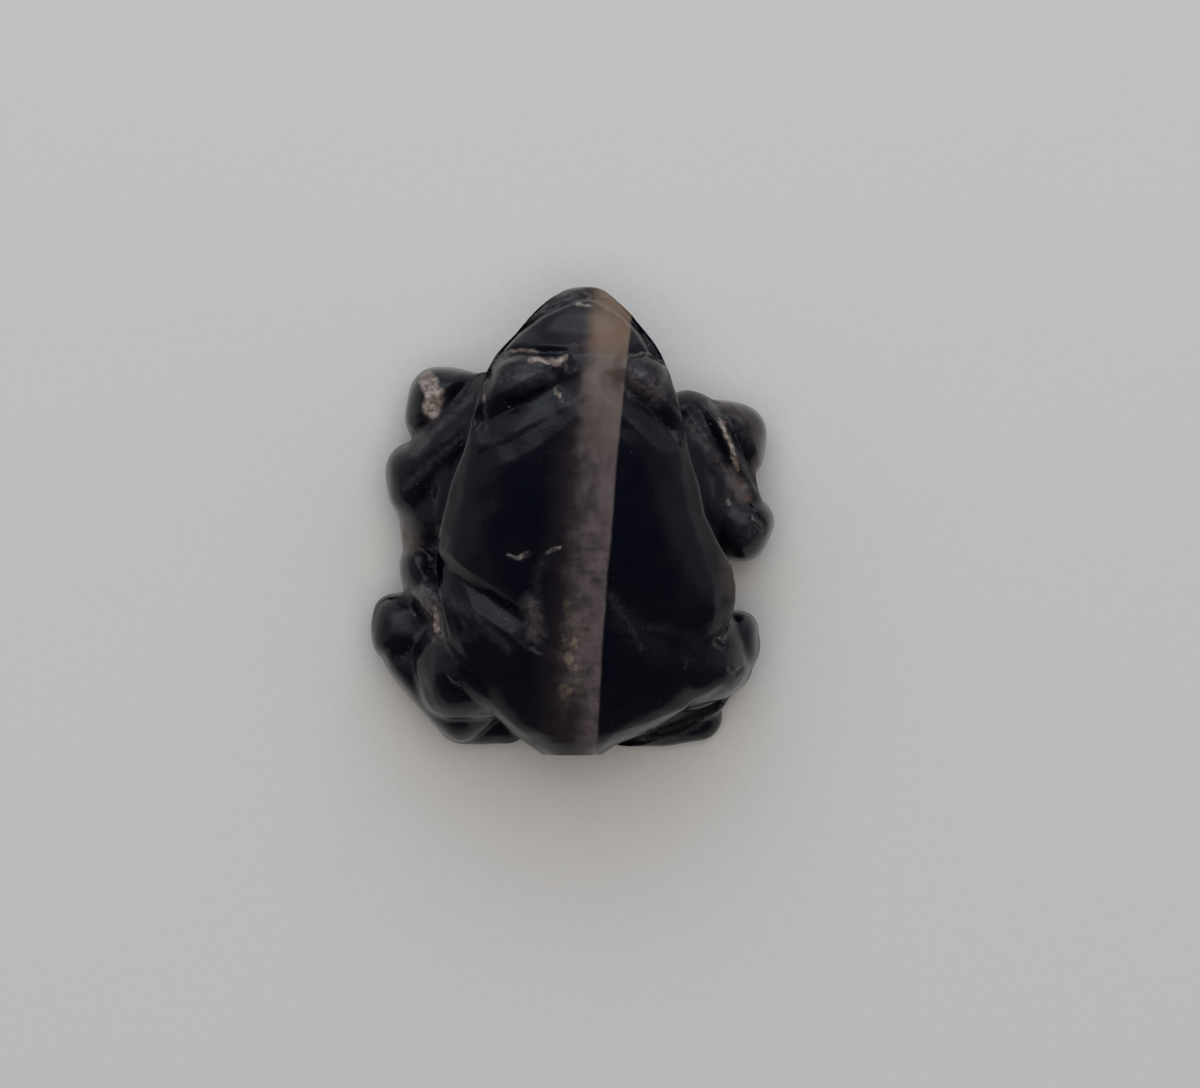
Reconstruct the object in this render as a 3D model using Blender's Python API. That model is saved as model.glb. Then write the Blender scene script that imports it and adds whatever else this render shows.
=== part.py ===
"""A carved stone bead in the form of a crouching frog, about 20 mm long.

The frog lies on its flat underside at Z = 0 with its head towards +Y. The
stringing hole runs lengthwise, from under the chin to the flat tail end. The
carving is laid out in hundredths of the bead's length and then scaled.
"""

import math

import bmesh
import bpy
import numpy as np
from mathutils import Matrix, Vector

# Real sizes, in metres
BEAD_LENGTH = 0.020
BORE_DIAMETER = 0.0017
BORE_AXIS_HEIGHT = 0.0020

# The carving, in hundredths of the bead's length: X to the right as seen from
# above, Y towards the head, Z up from the underside
TAIL_END = -50.0
CLAY_VOXEL = 0.8
SOFTENING_ROUNDS = 5
STEEPEST_CARVED = 0.3
UNDER_BASE = -2.0
MOST_TRIANGLES = 9200
BORE_SIDES = 24

# Head and trunk sections: place along Y, then the left side, the left edge of
# the back, its right edge and the right side along X, then the height of those
# edges, of the crown between them and of the lowest point
TRUNK_SECTIONS = (
    (49.9, 1.2, 2.0, 4.4, 5.2, 26.4, 27.0, 23.6),
    (49.2, -1.3, 0.2, 5.6, 6.9, 28.6, 29.8, 22.4),
    (47.4, -4.4, -2.6, 7.8, 9.4, 31.0, 33.2, 20.2),
    (43.8, -8.4, -6.2, 11.0, 12.9, 32.8, 35.4, 17.2),
    (39.9, -11.6, -9.4, 14.2, 16.1, 34.0, 37.0, 14.0),
    (37.2, -14.2, -12.0, 16.2, 18.1, 35.4, 39.2, 11.4),
    (34.8, -16.2, -14.0, 17.6, 19.4, 36.6, 41.2, 8.6),
    (31.0, -18.2, -16.6, 19.4, 21.1, 38.0, 42.0, 4.6),
    (27.0, -19.5, -18.2, 20.9, 22.4, 39.2, 42.8, -0.4),
    (22.0, -20.9, -19.6, 21.8, 23.6, 40.0, 43.4, -5.0),
    (15.0, -22.6, -20.6, 22.5, 25.2, 40.4, 43.9, -6.0),
    (8.0, -25.4, -22.0, 23.3, 27.0, 40.4, 44.2, -6.0),
    (1.0, -27.3, -23.2, 25.0, 28.6, 40.0, 44.2, -6.0),
    (-5.0, -28.2, -24.4, 27.0, 31.6, 39.4, 43.8, -6.0),
    (-10.0, -28.6, -25.0, 28.8, 34.4, 38.6, 43.2, -6.0),
    (-14.0, -28.2, -24.8, 30.0, 35.3, 38.0, 42.6, -6.0),
    (-18.0, -27.6, -24.4, 30.4, 35.0, 37.2, 41.8, -6.0),
    (-22.0, -27.0, -23.8, 30.0, 33.6, 36.4, 40.9, -6.0),
    (-28.0, -25.6, -22.6, 28.4, 31.6, 35.0, 39.4, -6.0),
    (-34.0, -23.0, -20.4, 26.6, 29.4, 33.2, 37.6, -6.0),
    (-40.0, -17.8, -15.4, 22.4, 24.6, 31.0, 35.4, -6.0),
    (-45.0, -13.2, -11.2, 14.6, 16.6, 28.6, 33.0, -6.0),
    (-47.6, -9.4, -7.8, 8.8, 10.2, 26.4, 30.8, -6.0),
    (-49.2, -7.4, -6.0, 6.4, 7.8, 24.4, 28.6, -6.0),
    (-50.6, -5.4, -4.2, 4.8, 6.0, 22.4, 26.4, -6.0),
)
BACK_STEPS = 20
FLANK_STEEPNESS = 1.15
BACK_FULLNESS = 3.6

# Rounded lumps: centre, half-sizes along X, Y and Z, turn about Z in degrees
# and squareness, where 2 is an ellipsoid
LUMPS = {
    "left_eye": ((-8.8, 28.8, 33.0), (9.4, 7.6, 11.2), 20, 2.2),
    "left_lid": ((-9.8, 21.6, 33.0), (9.4, 5.4, 9.6), 26, 2.2),
    "right_eye": ((14.6, 28.4, 32.0), (6.2, 7.4, 11.4), -24, 2.2),
    "right_lid": ((16.0, 21.4, 32.0), (6.6, 4.8, 10.0), -38, 2.2),
    "left_hand": ((-25.4, 24.0, 9.0), (10.2, 8.8, 15.2), -10, 3.0),
    "left_elbow": ((-32.2, 8.8, 8.0), (7.7, 8.6, 14.6), 8, 2.7),
    "left_side": ((-28.0, 1.0, 4.0), (9.2, 15.6, 18.8), 3, 2.5),
    "left_shoulder": ((-23.6, 9.0, 8.0), (7.6, 19.0, 18.0), -6, 2.8),
    "left_toe": ((-28.6, -10.6, 8.0), (8.3, 7.3, 15.4), 12, 2.7),
    "left_crest": ((-26.6, -18.4, 8.0), (7.2, 8.8, 20.0), 34, 2.6),
    "right_hand": ((30.9, 17.2, 9.0), (11.1, 8.9, 16.4), -4, 2.8),
    "right_elbow": ((35.2, -0.8, 8.5), (8.1, 7.4, 14.2), -24, 2.7),
    "right_side": ((28.0, 4.6, 4.0), (9.4, 15.6, 20.4), -8, 2.5),
    "right_shoulder": ((25.2, 9.6, 8.0), (7.4, 16.0, 18.6), 10, 2.8),
    "left_rump": ((-17.8, -30.2, 4.0), (17.2, 12.4, 30.0), 14, 3.0),
    "left_calf": ((-26.0, -32.6, 4.0), (10.2, 14.2, 18.4), 41, 4.6),
    "right_rump": ((20.0, -30.4, 4.0), (18.8, 10.8, 30.4), 10, 3.2),
    "left_knee": ((-34.6, -22.9, 8.0), (8.6, 7.4, 15.4), 0, 3.1),
    "right_knee": ((34.4, -25.6, 8.0), (6.1, 6.3, 15.8), 0, 3.0),
}
LUMP_ROUNDNESS = 4

# Limbs: points along the middle of each, and the limb's radius there
LIMBS = {
    "left_foreleg": ((-17.5, 24.0, 18.4, 8.0), (-25.6, 15.8, 18.4, 8.0), (-33.0, 9.0, 15.0, 6.4)),
    "right_foreleg": ((25.0, 20.0, 17.0, 8.0), (33.0, 10.6, 16.0, 6.2), (36.4, 1.0, 13.6, 5.4)),
    "left_thigh": (
        (-12.0, -27.0, 18.0, 12.0),
        (-26.0, -27.6, 15.4, 10.6),
        (-36.0, -23.4, 13.0, 6.0),
    ),
    "right_thigh": ((14.0, -28.0, 18.0, 12.0), (25.0, -30.4, 15.4, 10.4), (34.2, -26.8, 14.0, 6.6)),
    "left_shin": (
        (-36.8, -24.8, 8.0, 6.4),
        (-29.6, -34.0, 8.0, 6.3),
        (-22.8, -41.6, 6.0, 6.8),
        (-14.4, -42.2, 5.0, 6.1),
    ),
    "right_shin": ((34.4, -27.6, 9.0, 6.2), (27.6, -36.4, 8.0, 6.4), (16.0, -41.6, 6.0, 6.0)),
    "right_foot": ((27.2, -42.2, 3.0, 5.5), (20.0, -43.6, 3.0, 5.3), (12.0, -43.6, 3.0, 5.3)),
}
LIMB_SIDES = 24

# Cuts made from above: the bottom of the cut as a path in plan, its depth, and
# how far it slopes out to the left and to the right of that path
CUTS = {
    "mouth_left": (
        ((-15.0, 36.0), (-11.2, 40.2), (-5.8, 44.2), (0.6, 46.9), (5.0, 47.5)),
        2.6,
        3.2,
        1.0,
    ),
    "mouth_right": (((5.0, 47.5), (10.7, 44.2), (14.6, 40.1), (17.8, 35.0)), 2.6, 3.2, 1.0),
    "left_eye_rim": (
        ((-17.6, 31.0), (-15.6, 34.2), (-11.0, 35.6), (-5.6, 35.5), (-1.6, 34.8), (-0.8, 32.6)),
        1.4,
        1.8,
        1.8,
    ),
    "left_eye_hollow": (((-5.0, 31.6), (-9.0, 31.0), (-13.4, 29.4)), 0.8, 3.2, 3.4),
    "left_eye_fold": (((-2.6, 28.8), (-6.9, 26.6), (-12.2, 23.8), (-17.6, 21.0)), 2.7, 5.0, 3.8),
    "left_lid_edge": (((-3.6, 22.6), (-8.4, 19.4), (-12.8, 16.8), (-17.4, 15.0)), 0.6, 4.0, 2.4),
    "left_temple": (((-17.0, 30.6), (-18.3, 26.4), (-19.0, 20.6)), 0.9, 1.6, 1.6),
    "right_eye_rim": (
        ((20.6, 30.4), (18.6, 34.2), (14.8, 35.6), (11.6, 34.8), (10.4, 31.8), (10.9, 28.4)),
        0.9,
        1.8,
        1.8,
    ),
    "right_eye_fold": (((10.8, 28.8), (14.8, 25.4), (18.4, 21.8), (20.8, 19.0)), 2.8, 3.4, 4.6),
    "left_wrist": (((-20.8, 30.2), (-26.2, 25.2), (-30.6, 20.8), (-36.6, 17.0)), 2.0, 5.0, 2.6),
    "left_bay": (((-38.0, -2.4), (-29.6, -4.6)), 1.8, 4.0, 3.6),
    "left_crest_line": (
        ((-30.6, -8.0), (-27.6, -13.0), (-24.6, -18.4), (-22.8, -23.0)),
        1.3,
        3.6,
        2.8,
    ),
    "left_hip": (
        ((-28.0, -8.6), (-24.2, -11.6), (-18.6, -15.2), (-12.6, -19.2), (-7.4, -23.4)),
        2.3,
        2.6,
        7.0,
    ),
    "left_hip_crest": (((-26.0, -16.4), (-19.6, -20.0), (-12.6, -24.4)), -1.5, 4.6, 9.0),
    "left_knee_facet": (((-42.6, -16.0), (-35.0, -17.6), (-31.0, -22.0)), 3.6, 2.2, 11.0),
    "left_tail": (((-23.4, -35.6), (-17.4, -41.4), (-10.4, -47.6)), 1.6, 2.2, 6.0),
    "right_hand_outer": (((30.8, 25.4), (34.0, 20.6), (36.8, 14.6), (38.8, 8.6)), 2.2, 2.8, 1.8),
    "right_hand_inner": (((27.0, 24.0), (30.8, 17.8), (34.2, 12.0), (36.6, 8.2)), 1.8, 1.9, 2.2),
    "right_hand_valley": (((24.6, 21.6), (28.6, 16.4), (33.4, 10.4), (37.6, 4.6)), 1.2, 2.8, 5.4),
    "right_hip": (
        ((8.0, -15.0), (12.4, -19.2), (17.0, -21.4), (23.0, -22.8), (29.0, -22.6)),
        1.0,
        4.4,
        8.0,
    ),
    "right_knee_line": (
        ((26.0, -28.6), (28.6, -25.2), (33.0, -21.6), (35.6, -19.0)),
        0.9,
        2.6,
        5.2,
    ),
    "right_thigh_edge": (
        ((10.8, -48.6), (18.4, -45.8), (25.0, -43.4), (32.2, -38.8)),
        3.2,
        3.6,
        1.4,
    ),
}

# Cuts made from the sides: -1 for the left or 1 for the right, the path seen
# from that side as Y and Z, the depth, and how far it slopes out to both sides
SIDE_CUTS = {
    "left_forearm": (-1, ((2.0, 2.0), (9.0, 9.0), (17.0, 12.0), (28.0, 10.0)), 1.4, 2.2),
    "left_shank": (-1, ((-16.0, 12.0), (-24.0, 11.0), (-42.0, 9.0)), 1.6, 2.4),
    "right_forearm": (1, ((-6.0, 2.0), (1.0, 9.0), (10.0, 12.0), (22.0, 10.0)), 1.4, 2.2),
    "right_shank": (1, ((-19.0, 13.0), (-27.0, 11.0), (-38.0, 10.0)), 1.6, 2.4),
}

# Cuts made from below, in plan again, sloping out equally to both sides
UNDERSIDE_CUTS = {
    "left_forearm": (
        ((-17.6, 32.0), (-17.0, 22.0), (-18.6, 13.0), (-23.0, 5.0), (-29.0, -0.4), (-38.0, -3.0)),
        1.8,
        2.2,
    ),
    "right_forearm": (
        ((21.6, 28.0), (20.0, 19.0), (20.6, 10.0), (24.0, 1.0), (29.4, -5.4), (38.0, -9.0)),
        1.8,
        2.2,
    ),
    "left_leg": (
        (
            (-42.0, -17.0), (-33.0, -15.4), (-25.0, -17.4), (-18.4, -23.6), (-14.0, -33.0),
            (-11.4, -49.0),
        ),
        1.8,
        2.2,
    ),
    "right_leg": (
        ((40.0, -19.0), (31.6, -16.6), (24.0, -18.4), (18.0, -24.4), (14.0, -33.0), (11.4, -49.0)),
        1.8,
        2.2,
    ),
}


def add_ring(bm, points):
    """One closed ring of edges through the given points."""
    ring = bmesh.ops.create_circle(bm, segments=len(points), radius=1.0)["verts"]
    for vertex, place in zip(ring, points):
        vertex.co = place
    return list({edge for vertex in ring for edge in vertex.link_edges})


def trunk_points(along, left, left_edge, right_edge, right, edge_height, crown, low):
    """Round one section: over the back from right to left, then underneath."""
    middle = (left_edge + right_edge) / 2
    half = (right_edge - left_edge) / 2
    points = []
    for step in range(BACK_STEPS + 1):
        across = math.cos(math.pi * step / BACK_STEPS)
        rise = 1 - abs(across) ** BACK_FULLNESS
        height = edge_height + (crown - edge_height) * rise
        points.append(Vector((middle + across * half, along, height)))
    left_flank = max(low, edge_height - FLANK_STEEPNESS * (left_edge - left))
    right_flank = max(low, edge_height - FLANK_STEEPNESS * (right - right_edge))
    points.append(Vector((left, along, left_flank)))
    points.append(Vector((left + 0.1 * half, along, low)))
    points.append(Vector((right - 0.1 * half, along, low)))
    points.append(Vector((right, along, right_flank)))
    return points


def add_trunk(bm):
    rings = [add_ring(bm, trunk_points(*section)) for section in TRUNK_SECTIONS]
    for first, second in zip(rings, rings[1:]):
        bmesh.ops.bridge_loops(bm, edges=first + second)
    for ring in (rings[0], rings[-1]):
        bmesh.ops.contextual_create(bm, geom=ring)


def add_lump(bm, centre, halves, turn, squareness):
    ball = bmesh.ops.create_icosphere(bm, subdivisions=LUMP_ROUNDNESS, radius=1.0)["verts"]
    for vertex in ball:
        reach = sum(abs(share) ** squareness for share in vertex.co)
        vertex.co /= reach ** (1 / squareness)
    place = Matrix.Translation(centre) @ Matrix.Rotation(math.radians(turn), 4, "Z")
    bmesh.ops.transform(bm, matrix=place @ Matrix.Diagonal((*halves, 1.0)), verts=ball)


def add_limb(bm, stations):
    """A tapering limb with a ball at each station."""
    for x, y, z, radius in stations:
        bmesh.ops.create_icosphere(
            bm, subdivisions=3, radius=radius, matrix=Matrix.Translation((x, y, z))
        )
    for start, end in zip(stations, stations[1:]):
        first, second = Vector(start[:3]), Vector(end[:3])
        turn = (second - first).to_track_quat("Z", "Y").to_matrix().to_4x4()
        bmesh.ops.create_cone(
            bm,
            cap_ends=True,
            segments=LIMB_SIDES,
            radius1=start[3],
            radius2=end[3],
            depth=(second - first).length,
            matrix=Matrix.Translation((first + second) / 2) @ turn,
        )


def settle(obj):
    """Turns the object's modifiers into its own mesh."""
    graph = bpy.context.evaluated_depsgraph_get()
    mesh = bpy.data.meshes.new_from_object(obj.evaluated_get(graph))
    obj.modifiers.clear()
    obj.data = mesh


def soften(obj, rounds):
    bm = bmesh.new()
    bm.from_mesh(obj.data)
    for _ in range(rounds):
        bmesh.ops.smooth_vert(
            bm, verts=bm.verts, factor=0.5, use_axis_x=True, use_axis_y=True, use_axis_z=True
        )
    bm.to_mesh(obj.data)
    bm.free()


def clay_frog():
    """The uncarved frog: every lump, limb and the trunk fused in one skin."""
    bm = bmesh.new()
    add_trunk(bm)
    for lump in LUMPS.values():
        add_lump(bm, *lump)
    for stations in LIMBS.values():
        add_limb(bm, stations)
    bmesh.ops.recalc_face_normals(bm, faces=bm.faces)
    mesh = bpy.data.meshes.new("frog_bead")
    bm.to_mesh(mesh)
    bm.free()
    obj = bpy.data.objects.new("frog_bead", mesh)
    bpy.context.scene.collection.objects.link(obj)
    remesh = obj.modifiers.new("fuse", "REMESH")
    remesh.mode = "VOXEL"
    remesh.voxel_size = CLAY_VOXEL
    settle(obj)
    soften(obj, SOFTENING_ROUNDS)
    return obj


def numbers_of(mesh):
    """The mesh's points and their normals."""
    count = len(mesh.vertices)
    places = np.empty(count * 3)
    mesh.vertices.foreach_get("co", places)
    normals = np.empty(count * 3)
    mesh.vertex_normals.foreach_get("vector", normals)
    return places.reshape(-1, 3), normals.reshape(-1, 3)


def cut_share(plan, path, left_reach, right_reach):
    """How deep each point in plan lies in a cut: 1 at its bottom, 0 outside."""
    nearest = np.full(len(plan), np.inf)
    share = np.zeros(len(plan))
    for start, end in zip(path, path[1:]):
        start, end = np.array(start), np.array(end)
        run = end - start
        along = np.clip((plan - start) @ run / (run @ run), 0, 1)
        offset = plan - start - along[:, None] * run
        distance = np.linalg.norm(offset, axis=1)
        on_left = run[0] * offset[:, 1] - run[1] * offset[:, 0] > 0
        reach = np.where(on_left, left_reach, right_reach)
        closer = distance < nearest
        share[closer] = np.clip(1 - distance / reach, 0, 1)[closer]
        nearest[closer] = distance[closer]
    return share


def carve(obj):
    """Cuts the clay from the sides and from above, then levels and scores its underside."""
    places, normals = numbers_of(obj.data)
    plan = places[:, :2].copy()
    profile = places[:, 1:].copy()
    for side, path, depth, reach in SIDE_CUTS.values():
        facing = np.clip(side * normals[:, 0] / STEEPEST_CARVED, 0, 1)
        facing *= side * plan[:, 0] > 0
        places[:, 0] -= side * depth * facing * cut_share(profile, path, reach, reach)
    lowered = np.zeros(len(places))
    for path, depth, left_reach, right_reach in CUTS.values():
        lowered += depth * cut_share(plan, path, left_reach, right_reach)
    places[:, 2] -= lowered * np.clip(normals[:, 2] / STEEPEST_CARVED, 0, 1)
    floor = np.full(len(places), UNDER_BASE)
    for path, depth, reach in UNDERSIDE_CUTS.values():
        raised = (depth - UNDER_BASE) * cut_share(plan, path, reach, reach)
        floor = np.maximum(floor, UNDER_BASE + raised)
    places[:, 2] = np.maximum(places[:, 2], floor)
    obj.data.vertices.foreach_set("co", places.reshape(-1))
    obj.data.update()


def decimate(obj, most):
    """Thins the skin to that many triangles, keeping its creases."""
    triangles = 2 * len(obj.data.polygons)
    thin = obj.modifiers.new("thin", "DECIMATE")
    thin.ratio = min(1.0, most / triangles)
    thin.use_collapse_triangulate = True
    settle(obj)


def bring_to_size(obj):
    """Scales the frog to its real length and centres it in X and Y."""
    places, _ = numbers_of(obj.data)
    nose = places[:, 1].max()
    middle = Vector(((places[:, 0].min() + places[:, 0].max()) / 2, (nose + TAIL_END) / 2, 0))
    share = BEAD_LENGTH / (nose - TAIL_END)
    obj.data.transform(Matrix.Scale(share, 4) @ Matrix.Translation(-middle))


def helper(name, bm):
    mesh = bpy.data.meshes.new(name)
    bm.to_mesh(mesh)
    bm.free()
    obj = bpy.data.objects.new(name, mesh)
    obj.hide_render = True
    obj.display_type = "WIRE"
    bpy.context.scene.collection.objects.link(obj)
    return obj


def flat_ends():
    """A block that leaves the frog flat underneath and square at the tail."""
    bm = bmesh.new()
    bmesh.ops.create_cube(bm, size=1.0, matrix=Matrix.Translation((0, 0.5, 0.5)))
    bmesh.ops.scale(bm, vec=(2 * BEAD_LENGTH, 2 * BEAD_LENGTH, BEAD_LENGTH), verts=bm.verts)
    bmesh.ops.translate(bm, vec=(0, -BEAD_LENGTH / 2, 0), verts=bm.verts)
    return helper("flat_ends", bm)


def bore():
    bm = bmesh.new()
    bmesh.ops.create_cone(
        bm,
        cap_ends=True,
        segments=BORE_SIDES,
        radius1=BORE_DIAMETER / 2,
        radius2=BORE_DIAMETER / 2,
        depth=2 * BEAD_LENGTH,
        matrix=Matrix.Translation((0, 0, BORE_AXIS_HEIGHT)) @ Matrix.Rotation(math.pi / 2, 4, "X"),
    )
    return helper("bore", bm)


def boolean(obj, operation, other):
    cut = obj.modifiers.new(other.name, "BOOLEAN")
    cut.operation = operation
    cut.object = other


def banded_agate():
    stone = bpy.data.materials.new("banded_agate")
    stone.use_nodes = True
    shader = stone.node_tree.nodes["Principled BSDF"]
    shader.inputs["Base Color"].default_value = (0.012, 0.012, 0.017, 1.0)
    shader.inputs["Roughness"].default_value = 0.22
    shader.inputs["Metallic"].default_value = 0.0
    return stone


def main():
    for old in list(bpy.data.objects):
        bpy.data.objects.remove(old)
    bead = clay_frog()
    carve(bead)
    soften(bead, 1)
    decimate(bead, MOST_TRIANGLES)
    bring_to_size(bead)
    boolean(bead, "INTERSECT", flat_ends())
    boolean(bead, "DIFFERENCE", bore())
    bead.data.materials.append(banded_agate())


main()
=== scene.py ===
"""A carved stone frog bead lying on a pale table, seen from straight above."""

import math

import bmesh
import bpy
import numpy as np
from mathutils import Matrix, Vector, noise


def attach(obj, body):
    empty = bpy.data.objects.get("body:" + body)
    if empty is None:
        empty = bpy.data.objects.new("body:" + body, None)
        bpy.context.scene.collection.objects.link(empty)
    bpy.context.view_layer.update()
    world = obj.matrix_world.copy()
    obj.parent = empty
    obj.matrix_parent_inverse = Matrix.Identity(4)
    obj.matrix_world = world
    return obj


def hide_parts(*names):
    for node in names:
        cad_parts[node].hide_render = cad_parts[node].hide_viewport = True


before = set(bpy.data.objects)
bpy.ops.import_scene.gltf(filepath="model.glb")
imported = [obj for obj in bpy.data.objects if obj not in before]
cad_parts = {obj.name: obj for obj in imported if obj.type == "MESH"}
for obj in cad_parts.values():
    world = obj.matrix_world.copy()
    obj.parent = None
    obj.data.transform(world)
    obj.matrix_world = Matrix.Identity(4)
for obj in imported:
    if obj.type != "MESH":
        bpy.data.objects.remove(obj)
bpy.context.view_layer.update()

# The bead's real sizes, in metres
BEAD_LENGTH = 0.020
BORE_DIAMETER = 0.0017
BORE_AXIS_HEIGHT = 0.0020

# Soft lights: place, width, height, watts, colour and whether the stone mirrors them
LIGHTS = {
    "window": ((0.0, 0.125, 0.14), 0.20, 0.15, 0.100, (0.84, 0.93, 1.0), True),
    "wall_glow": ((0.0, 0.50, 0.24), 1.00, 0.30, 0.32, (0.76, 0.88, 1.0), True),
    "ceiling": ((0.0, 0.0, 1.2), 1.0, 1.0, 6.6, (1.0, 0.92, 0.81), False),
}

# The room: brightness overhead and around, the share left behind the tail, and
# the upward and headward directions between which it changes
ROOM_OVERHEAD = (0.02, 0.02, 0.03)
ROOM_AROUND = (0.35, 0.33, 0.38)
ROOM_BEHIND_TAIL = 0.15
ROOM_UPWARD = (0.93, 0.66)
ROOM_HEADWARD = (-0.55, 0.08)

# The photograph's frame in pixels: its width, the bead's length and how far its
# middle lies from the bead's. Then the camera's lens and sensor in millimetres,
# and the height above the table that is framed
FRAME_WIDTH = 1200
BEAD_PIXELS = 466
FRAME_SHIFT = (28, -23)
LENS, SENSOR = 200.0, 36.0
FRAMED_HEIGHT = 0.0035

# Colours of the stone
DARK_STONE = (0.0018, 0.0027, 0.0062)
DARK_STONE_CLOUDED = (0.0040, 0.0044, 0.0090)
BROWN_HAZE = (0.0150, 0.0120, 0.0160)
PALE_LAYER_DIM = (0.040, 0.032, 0.035)
PALE_LAYER = (0.122, 0.099, 0.104)
PALE_LAYER_HEAD = (0.160, 0.122, 0.103)
PALE_LAYER_TAIL = (0.016, 0.013, 0.016)
TAN_NOSE = (0.176, 0.120, 0.082)
YELLOW_PATCH = (0.200, 0.165, 0.125)
GREEN_PIT = (0.020, 0.021, 0.018)
THIN_GLOW = (0.125, 0.082, 0.062)
RUBBED_CREST = (0.030, 0.028, 0.032)
# Chipped stone, also used to paint highlights and glints
CHIP_AND_HIGHLIGHT = (0.200, 0.158, 0.134)
CHIP_AND_HIGHLIGHT_BRIGHT = (0.430, 0.370, 0.345)
# Dust specks, mixed with painted sparkle
DUST_AND_SPARKLE_SPECK = (0.260, 0.240, 0.240)
# Painted sheen, mixed with pale smears in the stone
SHEEN_AND_SMEAR_COLOUR = (0.080, 0.071, 0.078)
PAPER = (0.762, 0.776, 0.770)
PAPER_SHADED = (0.728, 0.741, 0.737)

# Edges of the pale layer, in hundredths of the bead's length: how they slant
# along the bead, where they cross its middle, and the right edge's bend
LAYER_RIGHT_SLANT, LAYER_RIGHT, LAYER_BEND = 0.083, 8.5, 0.0004
LAYER_LEFT_SLANT, LAYER_LEFT = 0.08, 0.9

# Surface of the stone and of the paper
POLISH = (0.13, 0.25)
STONE_IOR = 1.36
STONE_BUMP, STONE_BUMP_DEPTH = 0.18, 0.5
PAPER_ROUGHNESS = 0.75
PAPER_BUMP, PAPER_BUMP_DEPTH = 0.15, 0.0001

# The carving, in hundredths of the bead's length: X to the right as seen from
# above, Y towards the head, Z up from the underside
TAIL_END = -50.0
CLAY_VOXEL = 0.50
SOFTENING_ROUNDS = 10
STEEPEST_CARVED = 0.3
UNDER_BASE = -2.0
BORE_SIDES = 64
MOST_TRIANGLES = 190000

# Head and trunk sections: place along Y, then the left side, the left edge of
# the back, its right edge and the right side along X, then the height of those
# edges, of the crown between them and of the lowest point
TRUNK_SECTIONS = (
    (49.9, 1.2, 2.0, 4.4, 5.2, 26.4, 27.0, 23.6),
    (49.2, -1.3, 0.2, 5.6, 6.9, 28.6, 29.8, 22.4),
    (47.4, -4.4, -2.6, 7.8, 9.4, 31.0, 33.2, 20.2),
    (43.8, -8.4, -6.2, 11.0, 12.9, 32.8, 35.4, 17.2),
    (39.9, -11.6, -9.4, 14.2, 16.1, 34.0, 37.0, 14.0),
    (37.2, -14.2, -12.0, 16.2, 18.1, 35.4, 39.2, 11.4),
    (34.8, -16.2, -14.0, 17.6, 19.4, 36.6, 41.2, 8.6),
    (31.0, -18.2, -16.6, 19.4, 21.1, 38.0, 42.0, 4.6),
    (27.0, -19.5, -18.2, 20.9, 22.4, 39.2, 42.8, -0.4),
    (22.0, -20.9, -19.6, 21.8, 23.6, 40.0, 43.4, -5.0),
    (15.0, -22.6, -20.6, 22.5, 25.2, 40.4, 43.9, -6.0),
    (8.0, -25.4, -22.0, 23.3, 27.0, 40.4, 44.2, -6.0),
    (1.0, -27.3, -23.2, 25.0, 28.6, 40.0, 44.2, -6.0),
    (-5.0, -28.2, -24.4, 27.0, 31.6, 39.4, 43.8, -6.0),
    (-10.0, -28.6, -25.0, 28.8, 34.4, 38.6, 43.2, -6.0),
    (-14.0, -28.2, -24.8, 30.0, 35.3, 38.0, 42.6, -6.0),
    (-18.0, -27.6, -24.4, 30.4, 35.0, 37.2, 41.8, -6.0),
    (-22.0, -27.0, -23.8, 30.0, 33.6, 36.4, 40.9, -6.0),
    (-28.0, -25.6, -22.6, 28.4, 31.6, 35.0, 39.4, -6.0),
    (-34.0, -23.0, -20.4, 26.6, 29.4, 33.2, 37.6, -6.0),
    (-40.0, -17.8, -15.4, 22.4, 24.6, 31.0, 35.4, -6.0),
    (-45.0, -13.2, -11.2, 14.6, 16.6, 28.6, 33.0, -6.0),
    (-47.6, -9.4, -7.8, 8.8, 10.2, 26.4, 30.8, -6.0),
    (-49.2, -7.4, -6.0, 6.4, 7.8, 24.4, 28.6, -6.0),
    (-50.6, -5.4, -4.2, 4.8, 6.0, 22.4, 26.4, -6.0),
)
BACK_STEPS = 20
FLANK_STEEPNESS = 1.15
BACK_FULLNESS = 3.6

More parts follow.
